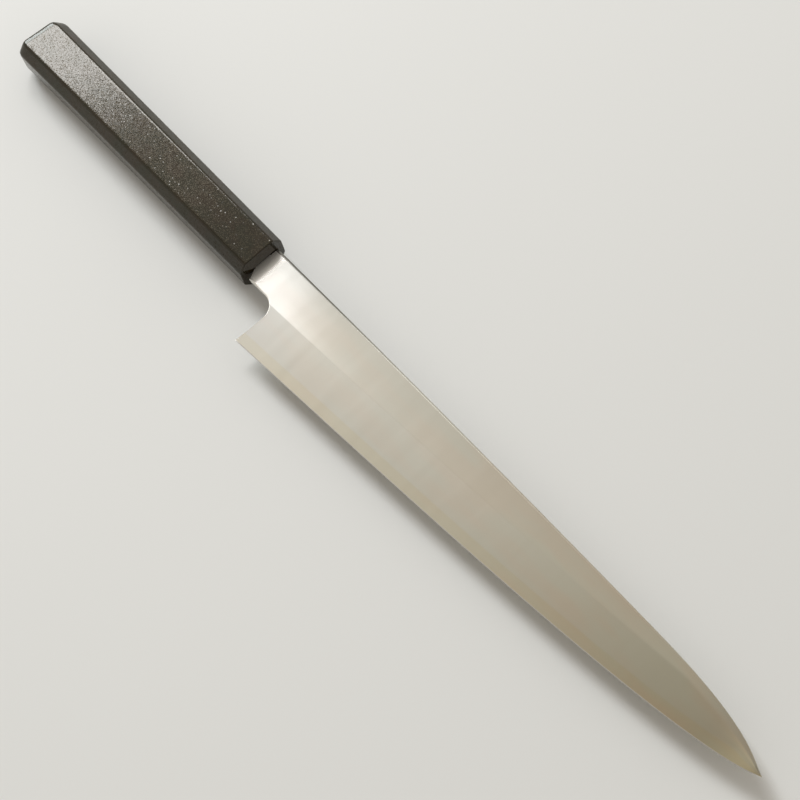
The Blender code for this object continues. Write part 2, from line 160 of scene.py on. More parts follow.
def finished(name: str, bm: Shape, at: Vector, finish: Surface, sharp: float = 30.0) -> Piece:
    """Make an object from a bmesh.

    Args:
        name: the piece's name.
        bm: the shape, which is freed.
        at: where the shape's own origin goes in the frame.
        finish: the piece's material.
        sharp: edges that turn by more than this many degrees stay crisp.

    Returns:
        The object, at the origin, with its place in its mesh.
    """
    bmesh.ops.translate(bm, verts=bm.verts, vec=at)
    bmesh.ops.recalc_face_normals(bm, faces=bm.faces)
    mesh = bpy.data.meshes.new(name)
    bm.to_mesh(mesh)
    bm.free()
    mesh.materials.append(finish)
    mesh.shade_smooth()
    mesh.set_sharp_from_angle(angle=math.radians(sharp))
    piece = bpy.data.objects.new(name, mesh)
    bpy.context.scene.collection.objects.link(piece)
    return piece


class Graph:
    """Puts nodes into one node tree and joins them."""

    def __init__(self, tree: bpy.types.NodeTree) -> None:
        """Work in this node tree."""
        self.tree = tree

    def add(self, kind: str, inputs: dict[str | int, object] | None = None, **settings: object) -> Node:
        """Add a node.

        Args:
            kind: the node's type.
            inputs: a value, or a socket to link, for each input by its name or place.
            settings: the node's own properties.

        Returns:
            The node.
        """
        node = self.tree.nodes.new(kind)
        for name, value in settings.items():
            setattr(node, name, value)
        for place, value in (inputs or {}).items():
            if isinstance(value, Socket):
                self.tree.links.new(value, node.inputs[place])
            else:
                node.inputs[place].default_value = value
        return node

    def feed(self, shader: Node, **sockets: Socket) -> None:
        """Link sockets to a shader's inputs, with _ for a space in the inputs' names."""
        for name, socket in sockets.items():
            self.tree.links.new(socket, shader.inputs[name.replace("_", " ")])

    def math(self, operation: str, a: object, b: object = 0.0, clamp: bool = False) -> Socket:
        """The result of one operation on two values."""
        return self.add("ShaderNodeMath", {0: a, 1: b}, operation=operation, use_clamp=clamp).outputs[0]

    def product(self, *values: object) -> Socket:
        """The product of some values."""
        return reduce(partial(self.math, "MULTIPLY"), values)

    def vector(self, operation: str, a: object, b: object = (0.0, 0.0, 0.0)) -> Socket:
        """The result of one operation on a vector and a second one, or its size where it is scaled."""
        node = self.add("ShaderNodeVectorMath", {0: a, "Scale" if operation == "SCALE" else 1: b},
                        operation=operation)
        return node.outputs["Value" if operation == "DOT_PRODUCT" else "Vector"]

    def mix(self, share: object, a: object, b: object, kind: str = "MIX") -> Socket:
        """A colour between two colours, or the first one changed by the second in another way."""
        inputs = {0: share, 6: a, 7: b}
        return self.add("ShaderNodeMix", inputs, data_type="RGBA", blend_type=kind).outputs[2]

    def blend(self, share: object, a: object, b: object) -> Socket:
        """A value between two values."""
        return self.add("ShaderNodeMix", {0: share, 2: a, 3: b}).outputs[0]

    def span(self, value: object, low: float, high: float, to_low: float = 0.0,
             to_high: float = 1.0) -> Socket:
        """A value carried smoothly from one range to another and held at its ends."""
        inputs = {"Value": value, "From Min": low, "From Max": high, "To Min": to_low, "To Max": to_high}
        return self.add("ShaderNodeMapRange", inputs, interpolation_type="SMOOTHSTEP").outputs[0]

    def fade(self, value: object, origin: float, places: Pair, falling: bool = False) -> Socket:
        """A mask that comes, or goes, between two places measured from an origin."""
        low, high = (origin + place for place in places)
        return self.span(value, low, high, float(falling), float(not falling))

    def noise(self, vector: Socket, detail: float, scale: float = 1.0) -> Socket:
        """A soft noise value."""
        inputs = {"Vector": vector, "Scale": scale, "Detail": detail}
        return self.add("ShaderNodeTexNoise", inputs).outputs[0]

    def place(self) -> Socket:
        """Object coordinates."""
        return self.add("ShaderNodeTexCoord").outputs["Object"]


def rgba(colour: Colour) -> tuple[float, float, float, float]:
    """A colour with full cover."""
    return (*colour, 1.0)


def new_group(name: str, inputs: dict[str, float], outputs: dict[str, str]) -> bpy.types.NodeTree:
    """Start a shader node group with named sockets.

    Args:
        name: the group's name.
        inputs: each number input with its default.
        outputs: each output with its socket type.

    Returns:
        The group, without its nodes.
    """
    group = bpy.data.node_groups.new(name, "ShaderNodeTree")
    for label, value in inputs.items():
        socket = group.interface.new_socket(label, in_out="INPUT", socket_type="NodeSocketFloat")
        socket.default_value = value
    for label, kind in outputs.items():
        group.interface.new_socket(label, in_out="OUTPUT", socket_type=kind)
    return group


def grain_group() -> bpy.types.NodeTree:
    """Fine lines along X or Y, for polish marks and wood grain.

    Returns:
        The group: its inputs are lines per metre along X and along Y and how much sparser the broad value
        is, its outputs a fine and a broad value.
    """
    group = new_group("fine_lines", {"Along X": 400.0, "Along Y": 4000.0, "Broad": 0.06},
                      {"Fine": "NodeSocketFloat", "Broad": "NodeSocketFloat"})
    g = Graph(group)
    ends = g.add("NodeGroupInput").outputs
    stretch = g.add("ShaderNodeCombineXYZ", {0: ends["Along X"], 1: ends["Along Y"], 2: ends["Along Y"]})
    place = g.vector("MULTIPLY", g.place(), stretch.outputs[0])
    broad_place = g.vector("SCALE", place, ends["Broad"])
    g.add("NodeGroupOutput", {"Fine": g.noise(place, detail=3.0), "Broad": g.noise(broad_place, detail=2.0)})
    return group


def flake_group() -> bpy.types.NodeTree:
    """Fine polished patches that lie a little askew, a few of them far askew, with metal flakes between.

    Returns:
        The group: its inputs are patches and flakes per metre, the lean, the extra lean of the few, their
        share and the flakes' share, its outputs the leaning normal, the flakes' mask and a value for each
        patch.
    """
    group = new_group("flakes", {"Scale": 2200.0, "Flake Scale": 5000.0, "Lean": 0.03, "Spark Lean": 0.1,
                                 "Sparks": 0.02, "Flakes": 0.15},
                      {"Normal": "NodeSocketVector", "Flake": "NodeSocketFloat", "Value": "NodeSocketFloat"})
    g = Graph(group)
    ends = g.add("NodeGroupInput").outputs
    place = g.place()

    def cells(scale: str) -> tuple[Socket, Socket]:
        """Cells of one size.

        Args:
            scale: the input that says how many there are to the metre.

        Returns:
            A random colour and a random value for each cell.
        """
        made = g.add("ShaderNodeTexVoronoi", {"Vector": place, "Scale": ends[scale]}).outputs
        pick = g.add("ShaderNodeTexWhiteNoise", {"Vector": made["Position"]}, noise_dimensions="3D")
        return made["Color"], pick.outputs["Value"]

    colour, value = cells("Scale")
    flake = g.math("LESS_THAN", cells("Flake Scale")[1], ends["Flakes"])
    spark = g.math("LESS_THAN", value, ends["Sparks"])
    amount = g.math("ADD", g.product(spark, ends["Spark Lean"]), ends["Lean"])
    offset = g.vector("SCALE", g.vector("SUBTRACT", colour, (0.5, 0.5, 0.5)), amount)
    upright = g.add("ShaderNodeNewGeometry").outputs["Normal"]
    normal = g.vector("NORMALIZE", g.vector("ADD", upright, offset))
    g.add("NodeGroupOutput", {"Normal": normal, "Flake": flake, "Value": value})
    return group


@dataclass(frozen=True)
class Effects:
    """The shader groups that the finishes share."""

    grain: bpy.types.NodeTree
    flakes: bpy.types.NodeTree


@dataclass(frozen=True)
class Lines:
    """One use of the grain: lines per metre along X and along Y, and how much sparser its broad value is."""

    along_x: float
    along_y: float
    broad: float

    def put(self, g: Graph, effects: Effects) -> Node:
        """Place the grain group with these values."""
        inputs = {"Along X": self.along_x, "Along Y": self.along_y, "Broad": self.broad}
        return g.add("ShaderNodeGroup", inputs, node_tree=effects.grain)


def principled(name: str, **constants: object) -> tuple[Surface, Graph, Node]:
    """Start a material.

    Args:
        name: the material's name.
        constants: values for the shader's own sockets, with _ for a space in their names.

    Returns:
        The material, its graph and its shader.
    """
    material = bpy.data.materials.new(name)
    material.use_nodes = True
    shader = material.node_tree.nodes["Principled BSDF"]
    for socket, value in constants.items():
        shader.inputs[socket.replace("_", " ")].default_value = value
    return material, Graph(material.node_tree), shader


@dataclass(frozen=True)
class BladeMap:
    """Where a place is on the blade: along X, across it along Y, and masks of the ground faces."""

    heel_x: float
    tip_x: float
    flat_y: Pair
    along: Socket
    across: Socket
    spine: Socket
    bevel: Socket
    band: Socket
    rim: Socket

    @classmethod
    def read(cls, g: Graph, heel_x: float, tip_x: float, flat_y: Pair) -> "BladeMap":
        """Add the nodes that read the place.

        Args:
            g: the material's graph.
            heel_x: where the heel is, along X in the frame.
            tip_x: where the tip is.
            flat_y: the heights of the ridge line and the spine beside the heel.

        Returns:
            The map.
        """
        along, across = g.add("ShaderNodeSeparateXYZ", {0: g.place()}).outputs[:2]
        zone = g.add("ShaderNodeAttribute", attribute_name="zone").outputs["Fac"]
        spine = g.span(zone, Zone.SPINE.value, Zone.FLAT.value, 1.0, 0.0)
        steps = [face.value for face in Zone]
        masks = [g.span(zone, low, high) for low, high in zip(steps[1:], steps[2:])]
        return cls(heel_x, tip_x, flat_y, along, across, spine, *masks)


@dataclass(frozen=True)
class SatinSteel:
    """Ground and polished steel: a brighter flat, a satin bevel and a fine band along the edge.

    Fades run between two places along X, measured from the heel, or at the point from the tip.
    """

    # Steel colour at the heel and at the point: its tone grows warmer towards the point, and painted light
    # makes the heel brighter and the point dimmer.
    heel_tone_and_painted_light: Colour = (0.74, 0.72, 0.665)
    point_tone_and_painted_shade: Colour = (0.67, 0.62, 0.51)
    # Painted shade: the bevel is darkened towards the point, from a share of the way along the blade.
    bevel_painted_shade_to_point: Colour = (0.80, 0.79, 0.76)
    bevel_painted_shade_from: float = 0.4
    # Painted light: a near-white steel colour on the neck beside the handle, lifting the shade that the
    # handle casts there.
    shoulder_painted_light: Colour = (0.98, 0.97, 0.95)
    shoulder_painted_light_fade: Pair = (-0.0130, -0.0108)
    shoulder_roughness: float = 0.42
    shoulder_fade: Pair = (-0.0150, -0.0118)
    neck_roughness: float = 0.235
    neck_fade: Pair = (-0.010, 0.034)
    flat_roughness: float = 0.18
    bevel_roughness: float = 0.22
    rim_roughness: float = 0.26
    spine_roughness: float = 0.34
    band_tint: Colour = (1.0, 0.97, 0.90)
    # Painted shade: the spine's colour is darkened, most at the neck and less along the blade.
    spine_painted_shade_at_neck: Colour = (0.33, 0.325, 0.31)
    spine_tint: Colour = (0.80, 0.79, 0.77)
    spine_fade: Pair = (0.0, 0.080)
    # Painted highlight: a paler steel colour on the rims along the edge, the choil and the heel.
    rim_painted_highlight: Colour = (0.93, 0.91, 0.86)
    # Painted reflection: a cooler cast on the neck, where the steel mirrors the window light.
    neck_painted_reflection_tint: Colour = (1.0, 1.01, 1.06)
    # Painted sheen on the lower half of the flat and painted shade on its upper half, near the heel, for the
    # hollow's reflection.
    flat_low_painted_sheen: Colour = (1.12, 1.12, 1.13)
    flat_low_painted_sheen_fades: tuple[Pair, Pair] = ((-0.006, 0.004), (0.018, 0.060))
    flat_high_painted_shade: Colour = (0.86, 0.86, 0.85)
    flat_high_painted_shade_fades: tuple[Pair, Pair] = ((-0.014, -0.008), (0.010, 0.044))
    # Near the point: painted shade on the flat and painted sheen on the bevel, evening out their brightness.
    point_flat_painted_shade: Colour = (0.86, 0.87, 0.88)
    point_flat_painted_shade_fade: Pair = (-0.050, -0.020)
    point_bevel_painted_sheen: Colour = (1.45, 1.43, 1.38)
    point_bevel_painted_sheen_fade: Pair = (-0.026, -0.003)
    cloud_lines: Lines = Lines(along_x=150.0, along_y=640.0, broad=0.14)
    cloud_contrast: Pair = (0.38, 0.62)
    cloud_strength: Pair = (0.35, 1.0)
    tan: Colour = (1.0, 0.955, 0.91)
    grey: Colour = (0.965, 1.0, 0.985)
    polish: Lines = Lines(along_x=2600.0, along_y=260.0, broad=0.12)
    polish_depth: float = 0.0000004
    rough_swing: float = 0.04

    def colour(self, g: Graph, at: BladeMap, clouds: Socket) -> Socket:
        """The steel's colour, with its tints and the painted light and shade that brighten or darken it from
        place to place.

        Args:
            g: the material's graph.
            at: the place on the blade.
            clouds: the value that the faint tan and grey clouds follow.

        Returns:
            The colour.
        """
        middle_y = 0.5 * sum(at.flat_y)
        flat = g.math("SUBTRACT", 1.0, at.bevel)
        lower = g.span(at.across, at.flat_y[0], middle_y, 1.0, 0.0)
        upper = g.span(at.across, middle_y, at.flat_y[1])
        # Shares of the painted sheen, below the middle of the flat, and of the painted shade, above it.
        low, high = (g.product(g.fade(at.along, at.heel_x, coming), g.fade(at.along, at.heel_x, going, True),
                               half, flat)
                     for (coming, going), half in ((self.flat_low_painted_sheen_fades, lower), (self.flat_high_painted_shade_fades, upper)))
        # Where the painted shade on the bevel starts.
        bevel_shade_start = lerp(at.heel_x, at.tip_x, self.bevel_painted_shade_from)
        # Painted shade on the spine, darkest at the neck.
        spine_tint = g.mix(g.fade(at.along, at.heel_x, self.spine_fade), rgba(self.spine_painted_shade_at_neck),
                           rgba(self.spine_tint))
        cloud_tint = g.mix(g.span(clouds, *self.cloud_contrast), rgba(self.tan), rgba(self.grey))
        # Warmer towards the point, with painted light: brighter at the heel, dimmer at the point.
        steel = g.mix(g.span(at.along, at.heel_x, at.tip_x), rgba(self.heel_tone_and_painted_light), rgba(self.point_tone_and_painted_shade))
        # Multiplied in turn: painted reflection at the neck, painted sheen and shade across the flat and at
        # the point, the band's own tint, painted shade on the bevel and the spine, and the clouds' own tone.
        for share, tint in (
                (g.fade(at.along, at.heel_x, self.neck_fade, True), rgba(self.neck_painted_reflection_tint)),
                (low, rgba(self.flat_low_painted_sheen)), (high, rgba(self.flat_high_painted_shade)),
                (g.product(g.fade(at.along, at.tip_x, self.point_flat_painted_shade_fade), flat),
                 rgba(self.point_flat_painted_shade)),
                (g.product(g.fade(at.along, at.tip_x, self.point_bevel_painted_sheen_fade), at.bevel),
                 rgba(self.point_bevel_painted_sheen)),
                (at.band, rgba(self.band_tint)),
                (g.product(at.bevel, g.span(at.along, bevel_shade_start, at.tip_x)), rgba(self.bevel_painted_shade_to_point)),
                (at.spine, spine_tint),
                (g.span(at.along, at.heel_x, at.tip_x, *self.cloud_strength), cloud_tint)):
            steel = g.mix(share, steel, tint, "MULTIPLY")
        # Painted light: the near-white colour beside the handle, kept off the spine.
        pale = g.fade(at.along, at.heel_x, self.shoulder_painted_light_fade, True)
        steel = g.mix(g.math("SUBTRACT", pale, at.spine, clamp=True), steel, rgba(self.shoulder_painted_light))
        # Painted highlight on the rims.
        return g.mix(at.rim, steel, rgba(self.rim_painted_highlight))

    def rough(self, g: Graph, at: BladeMap, broad: Socket) -> Socket:
        """The steel's roughness.

        Args:
            g: the material's graph.
            at: the place on the blade.
            broad: the polish marks' broad value.

        Returns:
            The roughness from place to place.
        """
        shoulder = g.fade(at.along, at.heel_x, self.shoulder_fade, True)
        neck = [at.heel_x + place for place in self.neck_fade]
        flat = g.math("ADD", g.span(shoulder, 0.0, 1.0, self.neck_roughness, self.shoulder_roughness),
                      g.span(at.along, *neck, 0.0, self.flat_roughness - self.neck_roughness))
        rough = g.blend(at.bevel, g.blend(at.spine, flat, self.spine_roughness), self.bevel_roughness)
        rough = g.math("ADD", rough, g.span(at.rim, 0.0, 1.0, 0.0, self.rim_roughness - self.bevel_roughness))
        return g.math("ADD", rough, g.product(g.math("SUBTRACT", broad, 0.5), self.rough_swing))

    def material(self, effects: Effects, heel_x: float, tip_x: float, flat_y: Pair) -> Surface:
        """Build the material.

        Args:
            effects: the shared groups.
            heel_x: where the heel is, along X in the frame.
            tip_x: where the tip is.
            flat_y: the heights of the ridge line and the spine beside the heel.

        Returns:
            The material.
        """
        material, g, shader = principled("satin_steel", Metallic=1.0)
        at = BladeMap.read(g, heel_x, tip_x, flat_y)
        clouds = self.cloud_lines.put(g, effects).outputs["Broad"]
        lines = self.polish.put(g, effects).outputs
        bump = g.add("ShaderNodeBump", {"Height": lines["Fine"], "Distance": self.polish_depth})
        g.feed(shader, Base_Color=self.colour(g, at, clouds), Roughness=self.rough(g, at, lines["Broad"]),
               Normal=bump.outputs[0])
        return material


@dataclass(frozen=True)
class FlakeLacquer:
    """Dark lacquer, full of fine polished patches and dull silver flakes; towards its front it has fewer
    flakes, more far-leaning patches and painted shade.
    """

    name: str
    olive: Colour = (0.0130, 0.0118, 0.0035)
    brown: Colour = (0.0215, 0.0132, 0.0050)
    cloud_lines: Lines = Lines(along_x=900.0, along_y=1600.0, broad=0.1)
    cloud_contrast: Pair = (0.35, 0.65)
    flake: Colour = (0.052, 0.045, 0.034)
    roughness: Pair = (0.085, 0.125)      # of the smoothest and the roughest patch
    flake_roughness: float = 0.42
    patches_per_metre: float = 2700.0
    flakes_per_metre: float = 4300.0
    lean: float = 0.022
    spark_lean: float = 0.11
    spark_shares: Pair = (0.036, 0.075)   # of all patches, away from the front and at the front
    flake_shares: Pair = (0.22, 0.13)     # the same for the flakes
    front_fade: Pair = (-0.048, -0.010)
    # Painted shade: the lacquer's colour is darkened towards the handle's front.
    front_painted_shade: Colour = (0.68, 0.67, 0.60)
    shine: float = 0.5
    shine_tint: Colour = (1.0, 0.965, 0.89)

    def material(self, effects: Effects, front_x: float) -> Surface:
        """Build the material.

        Args:
            effects: the shared groups.
            front_x: where the front face of the handle is, along X in the frame.

        Returns:
            The material.
        """
        material, g, shader = principled(self.name, Specular_IOR_Level=self.shine,
                                         Specular_Tint=rgba(self.shine_tint))
        along = g.add("ShaderNodeSeparateXYZ", {0: g.place()}).outputs[0]
        # Grows towards the front: it thins the flakes, adds far-leaning patches and brings in the painted
        # shade.
        quiet = g.fade(along, front_x, self.front_fade)
        flakes = g.add("ShaderNodeGroup", {
            "Scale": self.patches_per_metre, "Flake Scale": self.flakes_per_metre, "Lean": self.lean,
            "Spark Lean": self.spark_lean, "Sparks": g.span(quiet, 0.0, 1.0, *self.spark_shares),
            "Flakes": g.span(quiet, 0.0, 1.0, *self.flake_shares)}, node_tree=effects.flakes).outputs
        mask = flakes["Flake"]
        polish = g.span(flakes["Value"], 0.0, 1.0, *self.roughness)
        clouds = self.cloud_lines.put(g, effects).outputs["Broad"]
        base = g.mix(g.span(clouds, *self.cloud_contrast), rgba(self.olive), rgba(self.brown))
        # Painted shade towards the front.
        colour = g.mix(quiet, g.mix(mask, base, rgba(self.flake)), rgba(self.front_painted_shade), "MULTIPLY")
        g.feed(shader, Base_Color=colour, Roughness=g.blend(mask, polish, self.flake_roughness),
               Metallic=mask, Normal=flakes["Normal"])
        return material


@dataclass(frozen=True)
class DowelWood:
    """Plain hardwood with its grain along the knife."""

    pale: Colour = (0.56, 0.41, 0.25)
    dark: Colour = (0.36, 0.24, 0.13)
    roughness: float = 0.6
    lines: Lines = Lines(along_x=60.0, along_y=1800.0, broad=0.2)
    contrast: Pair = (0.35, 0.65)
    broad_share: float = 0.6
    fine_share: float = 0.5
    pore_depth: float = 0.00005

    def material(self, effects: Effects) -> Surface:
        """Build the material.

        Args:
            effects: the shared groups.

        Returns:
            The material.
        """
        material, g, shader = principled("dowel_wood", Roughness=self.roughness)
        lines = self.lines.put(g, effects).outputs
        broad = g.product(g.span(lines["Broad"], *self.contrast), self.broad_share)
        share = g.math("ADD", broad, g.product(lines["Fine"], self.fine_share), clamp=True)
        bump = g.add("ShaderNodeBump", {"Height": lines["Fine"], "Distance": self.pore_depth})
        g.feed(shader, Base_Color=g.mix(share, rgba(self.pale), rgba(self.dark)), Normal=bump.outputs[0])
        return material


@dataclass(frozen=True)
class Outline:
    """A height over X, drawn by cubic curves joined end to end."""

    points: np.ndarray

    @classmethod
    def through(cls, *spans: Sequence[Pair], samples: int = 400) -> "Outline":
        """Draw the curves.

        Args:
            spans: start, two control points and end of each curve.
            samples: points along each curve.

        Returns:
            The outline.
        """
        runs = []
        for span in spans:
            corners = [Vector((x, y, 0.0)) for x, y in span]
            runs.append(np.array([p.to_2d() for p in interpolate_bezier(*corners, samples)]))
        return cls(np.concatenate(runs))

    def at(self, x: float) -> float:
        """The height at x."""
        return float(np.interp(x, self.points[:, 0], self.points[:, 1]))


@dataclass
class Blade:
    """The blade and its tang, forged in one."""

    neck_length: float = 0.0181
    edge_run: float = 0.2690
    spine_y: float = 0.0083
    blade_height: float = 0.0384
    neck_height: float = 0.0172
    tip_below_spine: float = 0.0119
    tip_blunt: float = 0.0003
    choil_radius: float = 0.0070
    heel_lean: float = 0.0009
    heel_hollow: float = 0.6
    neck_cut: Pair = (0.0019, 0.0036)     # along X and along Y

    spine_crown: float = 0.0006
    spine_start_pull: float = 0.084
    break_to_tip: float = 0.0596          # how far from the tip the spine starts to fall to it
    break_fall: float = 0.0014
    break_slope: float = 0.025
    break_pull: float = 0.023
    point_shoulder_pull: float = 0.0462
    point_steep: Pair = (0.0072, 0.0021)  # the spine's last control point, back and up from the tip

    edge_slope_at_heel: float = 0.0577
    edge_start_pull: float = 0.072
    belly: Pair = (0.0273, 0.0153)        # the edge's last control point, back and down from the tip

    ridge_below_spine: float = 0.0184
    ridge_rises: tuple[float, float, float] = (0.0033, 0.0075, 0.0155)
    ridge_end_to_tip: float = 0.0248
    ridge_least_fall: float = 0.12

    spine_thickness: Pair = (0.0032, 0.0010)         # at the neck and at the tip
    distal_taper_power: float = 1.15
    hollow_to_ridge: float = 0.0003
    flat_hollow: float = 0.00009
    band_width: float = 0.0053
    band_most_rise: float = 0.6
    band_thickness: Pair = (0.00095, 0.00060)        # at the heel and at the tip
    band_most_thickness: float = 0.8
    bevel_crown: float = 0.00004
    edge_thickness: float = 0.00020
    point_wedge: float = 0.11
    spine_ease: Pair = (0.0013, 0.0009)              # at the neck and beyond its fade
    spine_ease_fade: float = 0.0600
    spine_ease_most: float = 0.8
    rim_ease: float = 0.00060
    rim_sink: float = 0.00030
    rim_sink_most: float = 0.5
    micro_bevel: float = 0.00032
    edge_half: float = 0.00002

    tang_length: float = 0.1000
    shoulders: tuple[float, float, float] = (0.0038, 0.0008, 0.00005)    # at spine, edge and side
    tang_height_end: float = 0.0050
    tang_thickness_end: float = 0.0020
    tang_creases: Pair = (0.60, 0.80)     # shares of its height, so that its rows match the blade's
    fit_gap: float = 0.0003

    spine_soft: float = 0.00015
    ridge_soft: Pair = (0.00020, 0.0024)             # at the neck and at the tip
    band_soft: float = 0.00090
    soft_share: float = 0.3
    strip_share: float = 0.15
    squeezed_face: float = 0.0006
    rounding_steps: int = 6
    flat_rows: int = 6
    bevel_rows: int = 8
    band_rows: int = 3
    rim_rows: int = 4
    tang_stations: int = 6
    neck_stations: int = 6
    choil_stations: int = 28
    heel_stations: int = 16
    edge_stations: int = 150
    fan_reach: float = 6.0
    crossing_halvings: int = 30

    @property
    def tip(self) -> Pair:
        """The point."""
        return self.neck_length + self.edge_run, self.spine_y - self.tip_below_spine

    @property
    def heel_y(self) -> float:
        """Height of the heel's corner."""
        return self.spine_y - self.blade_height

    @property
    def neck_under_y(self) -> float:
        """Height of the neck's underside."""
        return self.spine_y - self.neck_height

    @property
    def choil_x(self) -> float:
        """Where the choil ends and the line of the heel starts."""
        return self.neck_length + self.heel_lean

    @cached_property
    def spine(self) -> Outline:
        """The spine, from the handle to the point.

        Returns:
            Its outline.
        """
        tip_x, tip_y = self.tip
        slope, pull, shoulder = self.break_slope, self.break_pull, self.point_shoulder_pull
        break_x, break_y = tip_x - self.break_to_tip, self.spine_y - self.break_fall
        return Outline.through(
            [(0.0, self.spine_y),
             (self.spine_start_pull, self.spine_y + self.spine_crown),
             (break_x - pull, break_y + slope * pull), (break_x, break_y)],
            [(break_x, break_y), (break_x + shoulder, break_y - slope * shoulder),
             (tip_x - self.point_steep[0], tip_y + self.point_steep[1]), (tip_x, tip_y)],
        )

    @cached_property
    def edge(self) -> Outline:
        """The cutting edge, with a straight stretch behind the heel for what is measured from it.

        Returns:
            Its outline.
        """
        tip_x, tip_y = self.tip
        slope, pull = self.edge_slope_at_heel, self.edge_start_pull
        start = (self.neck_length, self.heel_y)
        behind = (0.0, self.heel_y - slope * self.neck_length)
        return Outline.through(
            [behind, behind, start, start],
            [start, (start[0] + pull, start[1] + slope * pull),
             (tip_x - self.belly[0], tip_y - self.belly[1]), (tip_x, tip_y)],
        )

    @cached_property
    def ridge(self) -> Outline:
        """The ridge line between the flat and the ground bevel.

        Returns:
            Its outline.
        """
        start_y = self.spine_y - self.ridge_below_spine
        end_x = self.tip[0] - self.ridge_end_to_tip
        third = (end_x - self.neck_length) / 3
        early, late, end = self.ridge_rises
        return Outline.through([(self.neck_length, start_y), (self.neck_length + third, start_y + early),
                                (end_x - third, start_y + late), (end_x, start_y + end)])

    def spine_half(self, x: float) -> float:
        """Half the thickness at the spine, which falls towards the tip and is thinned at the point.

        Args:
            x: the place along the blade.

        Returns:
            The half thickness.
        """
        neck, tip = self.spine_thickness
        forged = 0.5 * lerp(tip, neck, (1.0 - held(x / self.tip[0])) ** self.distal_taper_power)
        wedge = 0.5 * self.edge_thickness + self.point_wedge * (self.spine.at(x) - self.edge.at(x))
        return min(forged, wedge)

    def ease_at(self, x: float) -> float:
        """Rounding of the spine's corners, largest at the neck and limited by the thickness there."""
        eased = lerp(*self.spine_ease, held(x / self.spine_ease_fade))
        return min(eased, self.spine_ease_most * self.spine_half(x))

    def ridge_y(self, x: float) -> float:
        """Height of the ridge line, kept under the spine's rounding near the tip."""
        top, low = self.spine.at(x), self.edge.at(x)
        return min(self.ridge.at(x), lerp(top - self.ease_at(x), low, self.ridge_least_fall))

    def band_y(self, x: float) -> float:
        """Upper limit of the finer bevel along the edge."""
        low = self.edge.at(x)
        return min(low + self.band_width, lerp(low, self.ridge_y(x), self.band_most_rise))

    def half_thickness(self, x: float, y: float) -> float:
        """Half the blade's thickness at a place on its side.

        Args:
            x: the place along the blade.
            y: its height.

        Returns:
            The half thickness.
        """
        top, ridge, band, low = self.spine.at(x), self.ridge_y(x), self.band_y(x), self.edge.at(x)
        along = held((x - self.neck_length) / self.edge_run)
        at_spine = self.spine_half(x)
        at_ridge = at_spine - 0.5 * self.hollow_to_ridge * (1.0 - along)
        at_band = min(0.5 * lerp(*self.band_thickness, along), self.band_most_thickness * at_ridge)
        if y >= ridge:
            share = (y - ridge) / max(top - ridge, LEAST_FACE)
            hollow = 4 * self.flat_hollow * (1.0 - along) * share * (1 - share)
            return lerp(at_ridge, at_spine, share) - hollow
        if y >= band:
            share = (ridge - y) / max(ridge - band, LEAST_FACE)
            return lerp(at_ridge, at_band, share) + 4 * self.bevel_crown * share * (1 - share)
        share = (band - y) / max(band - low, LEAST_FACE)
        return lerp(at_band, 0.5 * self.edge_thickness, min(share, 1.0))

    def zone_at(self, x: float, y: float) -> Zone:
        """The ground face that a place on the side belongs to."""
        below_ridge = Zone.BEVEL if y >= self.band_y(x) else Zone.BAND
        return Zone.FLAT if y >= self.ridge_y(x) else below_ridge

    def crossing(self, line: Callable[[float], float], top: Pair, foot: Pair) -> float:
        """How far down from top to foot a height curve is met.

        Args:
            line: the height curve.
            top: the section's end at the spine.
            foot: its other end.

        Returns:
            The distance from the top, in metres.
        """
        low, high = 0.0, 1.0
        for _ in range(self.crossing_halvings):
            middle = 0.5 * (low + high)
            if lerp(top[1], foot[1], middle) > line(lerp(top[0], foot[0], middle)):
                low = middle
            else:
                high = middle
        return low * math.dist(top, foot)

    def side_places(self, start: float, creases: Pair, end: float, ridge_soft: float) -> list[float]:
        """How far down the rows of points on the side are, with a narrow one beside each crease.

        Args:
            start: where the spine's rounding ends.
            creases: how far down the ridge and the band's limit are.
            end: where the rim starts.
            ridge_soft: how far from the ridge the flat and the bevel begin to turn.

        Returns:
            The distances from the top, each larger than the one before.
        """
        least = min(self.squeezed_face, self.soft_share * (end - start))
        stops = (start, min(creases[0], end - 2 * least), min(creases[1], end - least), end)
        softs = (self.spine_soft, ridge_soft, self.band_soft, 0.0)
        places: list[float] = []
        for place, count in enumerate((self.flat_rows, self.bevel_rows, self.band_rows)):
            near, far = stops[place:place + 2]
            widest = self.soft_share * (far - near)
            first, last = near + min(softs[place], widest), far - min(softs[place + 1], widest)
            places += [lerp(first, last, step / count) for step in range(count + 1)]
            if last < far:
                places.append(far)
        return places

    def half_section(self, top: Pair, foot: Pair, half_at: Callable[[float, float], float],
                     spine_ease: float, creases: Pair, on_edge: bool) -> Section:
        """The right half of one section, from the middle of the spine to the middle of its foot.

        Args:
            top: the section's end at the spine.
            foot: its end at the edge, the choil or the tang's underside.
            half_at: half the thickness at a place.
            spine_ease: rounding of the spine's corner.
            creases: how far down the ridge and the band's limit are.
            on_edge: the foot is the cutting edge and not a blunt rim.

        Returns:
            Points with the zone of the finish at each.
        """
        length = math.dist(top, foot)
        rows: Section = []

        def put(down: float, sunk: float = 0.0, zone: Zone | None = None, half: float | None = None) -> None:
            """Add a point.

            Args:
                down: how far it is from the top.
                sunk: how far it lies under the side's surface.
                zone: its zone, or None for that of its place.
                half: half the thickness there, or None for that of its place.
            """
            x, y = (lerp(high, low, down / length) for high, low in zip(top, foot))
            height = half_at(x, y) - sunk if half is None else half
            rows.append((Vector((x, y, height)), (zone or self.zone_at(x, y)).value))

